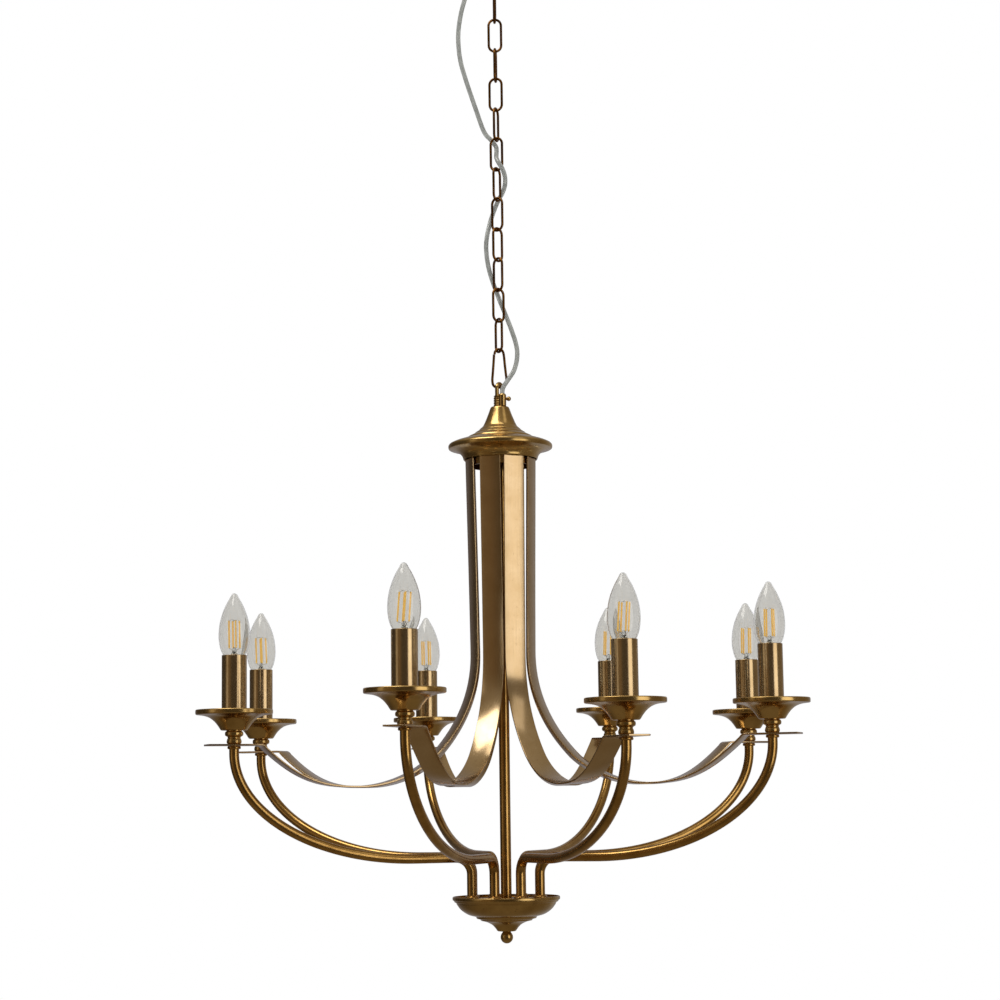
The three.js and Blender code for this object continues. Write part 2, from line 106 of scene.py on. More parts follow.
def add(tree, kind, links=None, stops=(), **settings):
    """Adds a node with its settings and links.

    links go from an output socket to an input's name or number, settings to properties or inputs, and stops
    are a colour ramp's (position, colour) pairs.
    """
    node = tree.nodes.new(kind)
    for name, value in settings.items():
        if hasattr(node, name):
            setattr(node, name, value)
        else:
            node.inputs[name.replace("_", " ")].default_value = value
    for i, (position, colour) in enumerate(stops):
        elements = node.color_ramp.elements
        element = elements[i] if i < 2 else elements.new(position)
        element.position = position
        element.color = colour
    for target, source in (links or {}).items():
        tree.links.new(source, node.inputs[target])
    return node


def material(name):
    """An empty material and the sockets that its patterns start from."""
    made = bpy.data.materials.new(name)
    made.use_nodes = True
    tree = made.node_tree
    tree.nodes.clear()
    where = add(tree, "ShaderNodeTexCoord")
    return made, tree, where


def finish_material(tree, shader):
    add(tree, "ShaderNodeOutputMaterial", {"Surface": shader.outputs[0]})


WHITE = (1, 1, 1, 1)
# Brush marks carry the roughness this far either way, and stains darken by this share.
GLOSS_SWING = 0.03
STAIN_SHARE = 0.35


def brushed_metal(
    name, light, dark, stain, roughness, marks, turned_round=None, uv=False, contrast=0.1, depth=0.05
):
    """Brass with brush marks, cloudy ageing and a few darker stains.

    marks are how many noise cells a metre holds along each axis, so the axis with the fewest is the brushed
    one. turned_round is the foot of a vertical axis that the marks run round, as on a spun or turned piece.
    """
    made, tree, where = material(name)
    vector = where.outputs["UV" if uv else "Object"]
    lines = vector
    if turned_round:
        x, y = turned_round
        centred = add(tree, "ShaderNodeMapping", {"Vector": vector}, Location=(-x * MM, -y * MM, 0))
        flat = add(tree, "ShaderNodeVectorMath", {0: centred.outputs[0]}, operation="MULTIPLY")
        flat.inputs[1].default_value = (1, 1, 0)
        radius = add(tree, "ShaderNodeVectorMath", {0: flat.outputs[0]}, operation="LENGTH")
        parts = add(tree, "ShaderNodeSeparateXYZ", {0: centred.outputs[0]})
        rings = add(tree, "ShaderNodeCombineXYZ", {"X": radius.outputs["Value"], "Y": parts.outputs["Z"]})
        lines = rings.outputs[0]
    stretched = add(tree, "ShaderNodeMapping", {"Vector": lines}, Scale=marks)
    brush = add(
        tree, "ShaderNodeTexNoise", {"Vector": stretched.outputs[0]}, Scale=1.0, Detail=3.0, Roughness=0.6
    )
    clouds = add(tree, "ShaderNodeTexNoise", {"Vector": vector}, Scale=CLOUDS, Detail=3.0, Roughness=0.55)
    spots = add(tree, "ShaderNodeTexNoise", {"Vector": vector}, Scale=SPOTS, Detail=4.0, Roughness=0.6)
    low = 1 - contrast
    cloudy = add(
        tree, "ShaderNodeValToRGB", {"Fac": clouds.outputs["Fac"]},
        [(0.32, linear(dark)), (0.66, linear(light))],
    )
    brushed = add(
        tree, "ShaderNodeValToRGB", {"Fac": brush.outputs["Fac"]},
        [(0.3, (low, low, low, 1)), (0.7, WHITE)],
    )
    stained = add(
        tree, "ShaderNodeValToRGB", {"Fac": spots.outputs["Fac"]},
        [(0.26, linear(stain)), (0.38, WHITE)],
    )
    tinted = add(
        tree, "ShaderNodeMix", {6: cloudy.outputs["Color"], 7: brushed.outputs["Color"]},
        data_type="RGBA", blend_type="MULTIPLY", Factor=1.0,
    )
    aged = add(
        tree, "ShaderNodeMix", {6: tinted.outputs[2], 7: stained.outputs["Color"]},
        data_type="RGBA", blend_type="MULTIPLY", Factor=STAIN_SHARE,
    )
    gloss = add(
        tree, "ShaderNodeMapRange", {"Value": brush.outputs["Fac"]}, From_Min=0.3, From_Max=0.7,
        To_Min=roughness + GLOSS_SWING, To_Max=roughness - GLOSS_SWING,
    )
    bump = add(tree, "ShaderNodeBump", {"Height": brush.outputs["Fac"]}, Strength=depth, Distance=0.0001)
    shader = add(
        tree, "ShaderNodeBsdfPrincipled",
        {"Base Color": aged.outputs[2], "Roughness": gloss.outputs[0], "Normal": bump.outputs[0]},
        Metallic=1.0,
    )
    finish_material(tree, shader)
    return made


# Ageing drifts over about 25 mm, and stains are about 4 mm across.
CLOUDS, SPOTS = 40.0, 240.0
# Lathe rings 0.4 mm apart, over the radius and the height alike.
RINGS = (2500, 2500, 1)
# Fine scratches 0.5 mm apart that run up a tube for about 40 mm.
UPRIGHT = (2000, 2000, 25)
# Belt-grinder lines along a strip: 0.5 mm apart and about 80 mm long.
ALONG_STRIP = (12, 2000, 1)


def spun_brass(name, x=0, y=0):
    """Spun brass, darkened and rubbed back on the lathe: olive gold with fine rings and browner clouds."""
    return brushed_metal(
        name, "E0BE7E", "C09E62", "7A5C36", 0.2, RINGS, (x, y), contrast=0.14, depth=0.08
    )


# Drawn brass tube with a satin finish: soft upright reflections and faint scratches.
SLEEVE_BRASS = brushed_metal(
    "satin_drawn_brass", "E0C69C", "D0B488", "947448", 0.19, UPRIGHT, contrast=0.12
)
# Brass strip, brushed lengthwise: a paler, pinker gold whose highlights stretch across the strip.
STRAP_BRASS = brushed_metal(
    "brushed_strip_brass", "DAC09A", "D0B48A", "A88A62", 0.17, ALONG_STRIP, uv=True
)
# Drawn tube, darkened and rubbed back: brown gold, smooth, with a crisp line of light along it.
TUBE_BRASS = brushed_metal(
    "drawn_tube_brass", "D0A866", "B68E50", "7A5C36", 0.19, (160, 160, 160), depth=0.0
)
# Bent brass wire under a brown patina: dark, with coppery rubs 2.4 mm apart.
WIRE_BRASS = brushed_metal(
    "patinated_wire_brass", "9A6A34", "5C3C1C", "2E1E10", 0.28, (420, 420, 420), contrast=0.3, depth=0.1
)


def plain_finish(name, light, dark, roughness, metallic=0.0, cells=400.0, depth=0.05):
    """A moulded, plated or pressed finish: two close tones in fine grain."""
    made, tree, where = material(name)
    grain = add(tree, "ShaderNodeTexNoise", {"Vector": where.outputs["Object"]}, Scale=cells, Detail=3.0)
    colour = add(
        tree, "ShaderNodeValToRGB", {"Fac": grain.outputs["Fac"]},
        [(0.3, linear(dark)), (0.7, linear(light))],
    )
    bump = add(tree, "ShaderNodeBump", {"Height": grain.outputs["Fac"]}, Strength=depth, Distance=0.0002)
    shader = add(
        tree, "ShaderNodeBsdfPrincipled",
        {"Base Color": colour.outputs["Color"], "Normal": bump.outputs[0]},
        Roughness=roughness, Metallic=metallic,
    )
    finish_material(tree, shader)
    return made


# Zinc-plated steel strip: pale grey with a faint crystal grain.
ZINC = plain_finish("zinc_plated_steel", "B8BABC", "8C8E90", 0.38, 1.0, 260.0)
# Nickel-plated cap of the bulb: bright silver.
NICKEL = plain_finish("nickel_plated_cap", "D2D0CA", "AEABA4", 0.22, 1.0, 500.0)
# Black thermoset resin of the lampholder and of the bulb's insulator: moulded, half matt.
RESIN = plain_finish("black_moulded_resin", "2A2826", "1A1918", 0.45)
# Tinned copper strands and the bulb's lead wires: soft silver.
TINNED = plain_finish("tinned_copper_wire", "C9C6C0", "9C9892", 0.3, 1.0, 900.0)


def clear_glass(name, tint, roughness):
    """Blown glass: clear, with the faintest drift in its gloss."""
    made, tree, where = material(name)
    drift = add(tree, "ShaderNodeTexNoise", {"Vector": where.outputs["Object"]}, Scale=60.0, Detail=2.0)
    gloss = add(
        tree, "ShaderNodeMapRange", {"Value": drift.outputs["Fac"]},
        To_Min=roughness, To_Max=roughness + GLOSS_SWING,
    )
    shader = add(
        tree, "ShaderNodeBsdfPrincipled", {"Roughness": gloss.outputs[0]},
        Base_Color=linear(tint), IOR=1.46, Transmission_Weight=1.0, Specular_IOR_Level=1.0,
    )
    finish_material(tree, shader)
    return made


# Thin blown wall: nearly clear, a little grey where it is seen edge on.
GLASS = clear_glass("blown_clear_glass", "E0DFDC", 0.0)
# Pressed solid glass: bright, and softer in its reflections.
STEM_GLASS = clear_glass("pressed_stem_glass", "E6E8E8", 0.05)


def filament_phosphor():
    """Amber silicone over a row of chips: grainy warm yellow, with a faint painted glow, since the bulbs are
    unlit.
    """
    made, tree, where = material("amber_filament_phosphor")
    grain = add(tree, "ShaderNodeTexNoise", {"Vector": where.outputs["Object"]}, Scale=700.0, Detail=3.0)
    amber = add(
        tree, "ShaderNodeValToRGB", {"Fac": grain.outputs["Fac"]},
        [(0.3, linear("E0A63A")), (0.7, linear("F6CC66"))],
    ).outputs["Color"]
    # Painted glow: the emission brightens the unlit strip's amber; no current lights it.
    shader = add(
        tree, "ShaderNodeBsdfPrincipled", {"Base Color": amber, "Emission Color": amber},
        Roughness=0.5, Emission_Strength=0.5,
    )
    finish_material(tree, shader)
    return made


PHOSPHOR = filament_phosphor()


def clear_pvc():
    """Soft clear PVC: milky, glossy, its greyness drifting along the cord."""
    made, tree, where = material("clear_pvc_sheath")
    drift = add(tree, "ShaderNodeTexNoise", {"Vector": where.outputs["Object"]}, Scale=90.0, Detail=3.0)
    colour = add(
        tree, "ShaderNodeValToRGB", {"Fac": drift.outputs["Fac"]},
        [(0.3, linear("A2A5A2")), (0.7, linear("BCBFBB"))],
    )
    shader = add(
        tree, "ShaderNodeBsdfPrincipled", {"Base Color": colour.outputs["Color"]},
        Roughness=0.18, IOR=1.5, Transmission_Weight=0.55, Coat_Weight=0.3, Coat_Roughness=0.1,
    )
    finish_material(tree, shader)
    return made


CLEAR_PVC = clear_pvc()

# ------------------------------------------------------------------ shaping tools
# Two vertices closer than this are one.
SAME_SPOT = 1e-4


def through(points, steps):
    """A smooth line through points: a Catmull-Rom curve with so many steps between each two."""
    points = [Vector(p) for p in points]
    line = []
    for i in range(len(points) - 1):
        p0, p1 = points[max(i - 1, 0)], points[i]
        p2, p3 = points[i + 1], points[min(i + 2, len(points) - 1)]
        for k in range(steps):
            t = k / steps
            square = (2 * p0 - 5 * p1 + 4 * p2 - p3) * t ** 2
            cube = (3 * p1 - p0 - 3 * p2 + p3) * t ** 3
            line.append(0.5 * (2 * p1 + (p2 - p0) * t + square + cube))
    return line + [points[-1]]


def arc(start, end, steps):
    """Evenly spaced angles from start to end, both included."""
    return [start + (end - start) * i / steps for i in range(steps + 1)]


def heading(line, i):
    """Direction of a line at its point i."""
    return (line[min(i + 1, len(line) - 1)] - line[max(i - 1, 0)]).normalized()


def rounded(corners, steps=5):
    """A line through (radius, height) corners, where a third number rounds that corner off by so much."""
    line = []
    for i, corner in enumerate(corners):
        here = Vector(corner[:2])
        reach = corner[2] if len(corner) > 2 else 0
        if not reach:
            line.append(here)
            continue
        before, after = Vector(corners[i - 1][:2]), Vector(corners[i + 1][:2])
        start = here + (before - here).normalized() * min(reach, (before - here).length / 2)
        end = here + (after - here).normalized() * min(reach, (after - here).length / 2)
        for k in range(steps + 1):
            t = k / steps
            line.append(start * (1 - t) ** 2 + here * 2 * t * (1 - t) + end * t ** 2)
    return line


def spun(profile, segments=64):
    """A bmesh turned round the Z axis from a (radius, height) profile."""
    bm = bmesh.new()
    verts = [bm.verts.new((max(r, 0), 0, z)) for r, z in profile]
    edges = [bm.edges.new(pair) for pair in zip(verts, verts[1:])]
    bmesh.ops.spin(
        bm, geom=verts + edges, cent=(0, 0, 0), axis=(0, 0, 1), angle=2 * pi, steps=segments,
        use_merge=True,
    )
    bmesh.ops.remove_doubles(bm, verts=bm.verts, dist=SAME_SPOT)
    bmesh.ops.recalc_face_normals(bm, faces=bm.faces)
    return bm


def spun_sheet(profile, wall, segments=64):
    """A bmesh of spun sheet: the profile turned round the Z axis, and given a wall on its inner side."""
    outer = [Vector(p) for p in profile]
    inner = []
    for i, point in enumerate(outer):
        along = heading(outer, i)
        inner.append(point + Vector((-along.y, along.x)) * wall)
    return spun(outer + inner[::-1] + outer[:1], segments)


def moved(bm, x=0, y=0, z=0):
    """The bmesh, shifted."""
    bmesh.ops.translate(bm, verts=bm.verts, vec=(x, y, z))
    return bm


def turned(bm, angle, axis="Z"):
    """The bmesh, turned about an axis through the origin."""
    bmesh.ops.rotate(bm, verts=bm.verts, cent=(0, 0, 0), matrix=Matrix.Rotation(angle, 3, axis))
    return bm


def wire(points, radius, sides=16, closed=False, radii=None):
    """A bmesh of round wire along a line of points; radii, if given, scale it at each point."""
    data = bpy.data.curves.new("wire", "CURVE")
    data.dimensions = "3D"
    data.bevel_depth = radius
    data.bevel_resolution = max(sides // 2 - 2, 1)
    data.use_fill_caps = not closed
    spline = data.splines.new("POLY")
    spline.points.add(len(points) - 1)
    spline.use_cyclic_u = closed
    for i, (point, to) in enumerate(zip(spline.points, points)):
        point.co = (*to, 1)
        point.radius = radii[i] if radii else 1
    holder = bpy.data.objects.new("wire", data)
    scene.collection.objects.link(holder)
    mesh = holder.to_mesh()
    bm = bmesh.new()
    bm.from_mesh(mesh)
    holder.to_mesh_clear()
    bpy.data.objects.remove(holder)
    bpy.data.curves.remove(data)
    bmesh.ops.remove_doubles(bm, verts=bm.verts, dist=SAME_SPOT)
    bmesh.ops.recalc_face_normals(bm, faces=bm.faces)
    return bm


def joined(*parts):
    """Several bmeshes as one."""
    whole = bmesh.new()
    for part in parts:
        mesh = bpy.data.meshes.new("part")
        part.to_mesh(mesh)
        part.free()
        whole.from_mesh(mesh)
        bpy.data.meshes.remove(mesh)
    return whole


def piece(name, bm, finish, body, replaced=(), crease=32, still=True):
    """Turns a bmesh in millimetres into a finished piece in metres that rides on a body."""
    bmesh.ops.scale(bm, verts=bm.verts, vec=(MM, MM, MM))
    mesh = bpy.data.meshes.new(name)
    bm.to_mesh(mesh)
    bm.free()
    mesh.shade_smooth()
    mesh.set_sharp_from_angle(angle=radians(crease))
    obj = bpy.data.objects.new(name, mesh)
    scene.collection.objects.link(obj)
    mesh.materials.append(finish)
    if still:
        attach(obj, body)
    if replaced:
        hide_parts(*replaced)
    return obj


# ------------------------------------------------------------------ supply cord
CORD_DIAMETER = 5.4
# The two cores are this thick and this far off the cord's middle, and turn by one radian over CORE_TWIST.
CORE_DIAMETER = 1.9
CORE_OFFSET = 1.15
CORE_TWIST = 9
# The route is given: down from the rose, through the links by turns, and into the cord grip.
CORD_ROUTE = [
    (-30, 0, -22), (-30, 0, -40), (-34, 1, -62), (-41, 3, -88), (-44.5, 6, -114), (-42.6, 8, -142),
    (-36.5, 10, -166), (-25.3, 12, -201), (-14.8, 12, -232), (-6.6, 10.8, -243), (-0.6, 8.6, -252),
    (0.2, 4.2, -258), (0, 0, -264), (0, -4.6, -270), (2.4, -9, -277), (7, -9, -285), (9.8, -4, -293),
    (9.8, 3.6, -301), (6.8, 10, -309), (1, 12.6, -319), (-7, 11.8, -340), (-13, 7, -366),
    (-13.4, 6, -386), (-9.6, 10, -408), (-1, 12.3, -434), (7.6, 10.6, -457), (15.3, 6, -479),
    (20.6, 2, -498), (21.4, -2, -513), (17.8, -5.4, -529), (10.4, -7, -541), (5, -6.6, -549),
    (3.4, -5.75, -554), (3.2, -5.6, -559), (3.2, -5.6, -566),
]
# The cord bends at the chain's four joints, so it is made in four stretches: the name of each, the bodies it
# runs from and to, and the height of its lower end.
CORD_CUTS = [
    ("upper", "ceiling_fitting", "top_link", -100),
    ("middle", "top_link", "chain", -166),
    ("lower", "chain", "quick_link", -512),
    ("end", "quick_link", "lamp", -600),
]


def make_cord():
    line = through(CORD_ROUTE, 8)
    runs = [0]
    for a, b in zip(line, line[1:]):
        runs.append(runs[-1] + (b - a).length)
    start = 0
    for name, upper_body, lower_body, floor in CORD_CUTS:
        end = max(i for i, point in enumerate(line) if point.z > floor)
        stretch = line[start:end + 1]
        cores = []
        for k in (-1, 1):
            twist = []
            for point, run in zip(stretch, runs[start:end + 1]):
                angle = run / CORE_TWIST + k * pi / 2
                twist.append(point + Vector((cos(angle), sin(angle), 0)) * CORE_OFFSET)
            cores.append(piece(
                f"cord_core_{name}_{'ab'[k > 0]}", wire(twist, CORE_DIAMETER / 2, 8), TINNED, lower_body,
                still=False,
            ))
        sheath = piece(
            f"cord_{name}", wire(stretch, CORD_DIAMETER / 2, 20), CLEAR_PVC, lower_body,
            ["cord"], still=False,
        )
        for part in [sheath, *cores]:
            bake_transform(part)
        start = end


make_cord()

# ------------------------------------------------------------------ ceiling fitting
BUSH_Z = -32
SCREW_REACH = 36
EYE_RADIUS, EYE_WIRE = 8, 4
EYE_COLLAR_Z, EYE_SHANK_Z = -47, -42


def make_ceiling_fitting():
    low, high, middle = place("ceiling_rose")
    radius, height = high.x - middle.x, high.z - low.z
    rose = rounded([
        (3.5, 0), (10, 0, 2), (24, 4.5, 9), (41, 17, 12), (51, 30, 8), (radius - 1.6, height - 5, 2),
        (radius, height - 4, 1), (radius, height),
    ])
    piece(
        "ceiling_rose_spun", moved(spun_sheet(rose, 1.2, 96), z=low.z), spun_brass("spun_brass_rose"),
        "ceiling_fitting", ["ceiling_rose"],
    )
    bush = spun([(3.0, -3), (5.2, -3), (5.2, 2), (3.0, 2), (3.0, -3)], 32)
    bush = moved(bush, x=CORD_ROUTE[0][0], z=BUSH_Z)
    piece("rose_cord_bush", bush, CLEAR_PVC, "ceiling_fitting")
    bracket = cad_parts["ceiling_bracket"]
    bracket.data.materials.clear()
    bracket.data.materials.append(ZINC)
    for side, word in ((-1, "left"), (1, "right")):
        head = spun(rounded([(0, 3.2), (2.5, 3.2, 1.2), (4.2, 1.2, 0.8), (4.2, 0)]), 24)
        head = turned(head, pi, "X")
        head = moved(head, x=side * SCREW_REACH, z=-3)
        piece(f"bracket_screw_{word}", head, ZINC, "ceiling_fitting")

    low, high, _ = place("ceiling_loop")
    ring = [(EYE_RADIUS * sin(a), 0, EYE_RADIUS * cos(a)) for a in arc(0, 2 * pi, 48)[:-1]]
    ring = moved(wire(ring, EYE_WIRE / 2, 20, closed=True), z=low.z + EYE_RADIUS + EYE_WIRE / 2)
    collar = rounded([(0, 0), (3, -0.6, 1), (6, 0.4, 1.2), (8, 2.4, 0.8), (8, 4.6), (0, 4.6)])
    collar = moved(spun(collar, 48), z=EYE_COLLAR_Z)
    length = high.z - EYE_SHANK_Z
    shank = moved(spun([(0, 0), (3, 0), (3, length), (0, length)], 24), z=EYE_SHANK_Z)
    loop = joined(ring, collar, shank)
    piece("ceiling_loop_eye", loop, WIRE_BRASS, "ceiling_fitting", ["ceiling_loop"])


make_ceiling_fitting()

# ------------------------------------------------------------------ chain
LINK_WIRE, LINK_WIDTH, LINK_LENGTH, LINK_COUNT = 3, 18, 43, 12
# Each link is turned by this much to the one above it, in degrees.
FIRST_TURN, LINK_TURN = 95, 84
# Links that share a CAD node sink into each other by this much, and the others stand off by as much.
LINK_BITE = 0.3
# The cut between the wire's ends: its half width, and how far the wire narrows there.
CUT_HALF, CUT_NECK = 0.25, 0.86
LINK_NODES = ["chain_link_1"]
LINK_NODES += [f"chain_links_{i}_{i + 1}" for i in (2, 2, 4, 4, 6, 6, 8, 8, 10, 10)]
LINK_NODES += ["chain_link_12"]


def link_line():
    """Middle line of a link in the XZ plane, with the cut between the wire's ends halfway down one leg."""
    bend = (LINK_WIDTH - LINK_WIRE) / 2
    half = (LINK_LENGTH - LINK_WIDTH) / 2
    points = [(bend, -CUT_HALF), (bend, -0.4 * CUT_HALF), (bend, 0.4 * CUT_HALF), (bend, CUT_HALF)]
    radii = [1, CUT_NECK, CUT_NECK, 1]
    for turn, rise in ((0, half), (pi, -half)):
        points += [(bend * cos(a), rise + bend * sin(a)) for a in arc(turn, turn + pi, 14)]
    radii += [1] * (len(points) - len(radii))
    return [(x, 0, z) for x, z in points], radii


def make_chain():
    top = place("chain_link_1")[1].z
    points, radii = link_line()
    wire_top = top - LINK_WIRE / 2
    for i in range(LINK_COUNT):
        middle = wire_top - (LINK_LENGTH - LINK_WIRE) / 2
        link = wire(points, LINK_WIRE / 2, 16, closed=True, radii=radii)
        link = moved(turned(link, radians(FIRST_TURN + LINK_TURN * i)), z=middle)
        body = "top_link" if i == 0 else "chain"
        piece(f"link_{i + 1:02d}", link, WIRE_BRASS, body, [LINK_NODES[i]])
        closed_to_next = i % 2 == 1 and i < LINK_COUNT - 1
        wire_top -= LINK_LENGTH - 2 * LINK_WIRE + (LINK_BITE if closed_to_next else -LINK_BITE)


def make_quick_link():
    """A pear of wire whose two ends meet at the upper left, a little out of line.

    Its outline is (half width, share of the height).
    """
    low, high, _ = place("quick_link")
    height = high.z - low.z - LINK_WIRE
    outline = [
        (-5.3, 0.87), (-5.1, 0.91), (-3.9, 0.965), (-2.2, 0.992), (0, 1), (2.6, 0.985), (4.6, 0.93),
        (5.7, 0.82), (6.5, 0.62), (7.6, 0.38), (8.4, 0.2), (7.6, 0.075), (4.6, 0.012), (0, 0),
        (-4.6, 0.012), (-7.6, 0.075), (-8.4, 0.2), (-7.7, 0.38), (-6.8, 0.62), (-6.2, 0.80), (-6.1, 0.86),
    ]
    line = through([(x, 0, low.z + LINK_WIRE / 2 + share * height) for x, share in outline], 5)
    pear = wire(line, LINK_WIRE / 2, 18)
    piece("quick_link_pear", pear, WIRE_BRASS, "quick_link", ["quick_link"])


make_chain()
make_quick_link()

# ------------------------------------------------------------------ hanging loop
LOOP_TURN = 60
THREAD_PITCH = 2.9
CORD_GRIP_PLACE = (3.2, -5.6)


def make_hanging_loop():
    low, high, _ = place("hanging_loop")
    wire_radius, reach = 2.4, 6.1
    arch_middle = high.z - wire_radius - reach
    foot = low.z + 12
    arch = [(reach * cos(a), 0, arch_middle + reach * sin(a)) for a in arc(0, pi, 24)]
    arch = [(reach, 0, foot)] + arch + [(-reach, 0, foot)]
    arch = turned(wire(arch, wire_radius, 20), radians(LOOP_TURN))
    thread = [(0, 0), (6.3, 0)]
    for i in range(4):
        rise = i * THREAD_PITCH
        thread += [(7.2, 0.6 + rise, 0.5), (7.2, 2.2 + rise, 0.5), (6.0, THREAD_PITCH + rise, 0.4)]
    thread += [(7.0, 12.4, 0.4), (7.0, 13.0, 0.3), (6.4, 13.3), (0, 13.3)]
    barrel = moved(spun(rounded(thread, 3), 48), z=low.z)
    grip = rounded([
        (3.1, 14.7), (3.4, 14.7, 0.2), (4.5, 13.2, 0.5), (4.5, 0.4, 0.4), (4.0, 0), (3.1, 0), (3.1, 14.7),
    ])
    grip = moved(spun(grip, 40), *CORD_GRIP_PLACE, low.z)
    piece(
        "hanging_loop_cast", joined(arch, barrel, grip), spun_brass("cast_loop_brass"),
        "lamp", ["hanging_loop"],
    )

    low, high, middle = place("thumb_screw")
    reach = high.x - low.x
    ball = 2.8
    screw = [(0, 0), (1.5, 0), (1.5, reach - 2 * ball)]
    screw += [(ball * sin(a), reach - ball - ball * cos(a)) for a in arc(pi / 4, pi, 12)]
    screw = turned(spun(screw, 32), pi / 2, "Y")
    screw = moved(screw, low.x, middle.y, middle.z)
    piece("thumb_screw_ball", screw, spun_brass("turned_screw_brass"), "thumb_screw", ["thumb_screw"])


make_hanging_loop()

# ------------------------------------------------------------------ cap, collar, tube and dish


def candle(number):
    """A candle's distance from the middle, its direction and the height of its sleeve's top."""
    _, high, middle = place(f"candle_sleeve_{number}")
    return hypot(middle.x, middle.y), atan2(middle.y, middle.x), high.z


def make_cap():
    height = CAP_HIGH.z - CAP_LOW.z
    outside = rounded([
        (43.4, 0), (43.9, 1.0, 0.6), (44.8, 4.4, 4), (47.4, 8.0, 4), (52.4, 11.0, 4), (58.2, 12.4, 2),
        (60.9, 13.0, 0.8), (61.5, 14.6, 0.8), (61.5, 16.8, 1), (60.4, 18.8, 1.6), (55.0, 21.4, 3),
        (45.5, 24.4, 3), (38.4, 26.4, 0.6), (37.8, 27.8, 0.6), (30.6, 31.2, 2), (29.8, 32.4, 0.6),
        (25.2, 35.2, 2), (24.4, 36.4, 0.6), (20.6, 39.6, 2), (19.4, 41.6, 0.7), (18.2, 44.0, 2),
        (14.2, 53.6, 8), (11.2, height - 1.4, 1), (10.2, height, 0.5), (6.6, height),
    ])
    cap = moved(spun_sheet(outside, 1.0, 128), z=CAP_LOW.z)
    piece("top_cap_spun", cap, spun_brass("spun_brass_cap"), "lamp", ["top_cap"])


def make_strap_collar():
    low, high, _ = place("strap_collar")
    radius, height, wall = high.x, high.z - low.z, 2
    ring = rounded([
        (radius - wall, 0), (radius - 0.4, 0, 0.3), (radius, 0.4, 0.3), (radius, height), (6.6, height),
        (6.6, height - wall), (radius - wall, height - wall), (radius - wall, 0),
    ], 3)
    ring = moved(spun(ring, 96), z=low.z)
    piece("strap_collar_ring", ring, spun_brass("collar_brass"), "lamp", ["strap_collar"])
    heads = []
    for number in range(1, 9):
        _, azimuth, _ = candle(number)
        head = spun(rounded([(0, 2.2), (1.6, 2.0, 0.6), (2.4, 1.0, 0.4), (2.4, 0), (0, 0)]), 20)
        head = turned(head, -pi / 2, "Y")
        heads.append(turned(moved(head, x=radius - wall, z=low.z + 3.2), azimuth))
    piece("strap_collar_screws", joined(*heads), ZINC, "lamp")


def make_centre_tube():
    low, high, _ = place("centre_tube")
    bore, radius = 4.8, high.x
    tube = spun([(bore, low.z), (radius, low.z), (radius, high.z), (bore, high.z), (bore, low.z)], 40)
    piece("centre_tube_drawn", tube, TUBE_BRASS, "lamp", ["centre_tube"])


def make_dish():
    height = DISH_HIGH.z - DISH_LOW.z
    outside = rounded([
        (3.4, 0), (9.9, 0, 0.5), (10.8, 0.6, 0.6), (12.9, 3.6, 2), (16.4, 7.6, 3), (23.4, 11.0, 3),
        (29.4, 12.2, 0.5), (30.2, 13.6, 0.5), (34.2, 14.6, 0.5), (35.2, 16.8, 0.6), (42.6, 18.6, 2),
        (46.4, 20.4, 3), (52.8, 24.8, 6), (57.2, 31.0, 3), (57.8, 32.8, 0.4), (59.6, 33.4, 0.5),
        (60.4, 35.2, 0.6), (61.8, 35.8, 0.5), (62.1, 38.4, 0.8), (61.4, height, 0.6), (60.2, height),
    ])
    dish = moved(spun_sheet(outside, 1.2, 128), z=DISH_LOW.z)
    piece("dish_spun", dish, spun_brass("spun_brass_dish"), "lamp", ["dish"])
    low, high, _ = place("dish_cover")
    bore, edge = 6.7, 54.8
    plate = spun(rounded([
        (bore, high.z), (edge - 0.6, high.z, 0.5), (edge, high.z - 0.8, 0.5), (edge, low.z), (bore, low.z),
        (bore, high.z),
    ]), 96)
    piece("dish_cover_plate", plate, spun_brass("spun_brass_cover"), "lamp", ["dish_cover"])


def make_finial():
    low, _, _ = place("finial")
    radius = 7.2
    ball = [(0, -2 * radius)]
    ball += [(radius * sin(a), -radius - radius * cos(a)) for a in arc(0.05 * pi, 0.75 * pi, 14)]
    ball += [(4.6, -0.9), (5.6, -0.3), (5.6, 0.3), (3, 0.3), (3, 14), (0, 14)]
    ball = moved(spun(ball, 48), z=low.z + 2 * radius)
    piece("finial_ball", ball, spun_brass("turned_finial_brass"), "finial", ["finial"])


make_cap()
make_strap_collar()
make_centre_tube()
make_dish()
make_finial()

# ------------------------------------------------------------------ arms, straps and candles
WAIST, TOP_RADIUS = 35.1, 38.9
STRAP_WIDTH, STRAP_THICKNESS, STRAP_EDGE = 25, 2, 0.45
# The straps' columns reach down to this far above LEVEL, and their bowls to this far below it.
COLUMN_FOOT, BOWL_DEPTH = 5, 151
TAB_HALF, TAB_GAP = 31.5, 0.3
FOOT_RADIUS, FOOT_BEND = 42, 19
ARM_RADIUS, ARM_DEPTH = 5.5, 233.2
PAN_HEIGHT = 23.2
BULB_WALL = 0.7


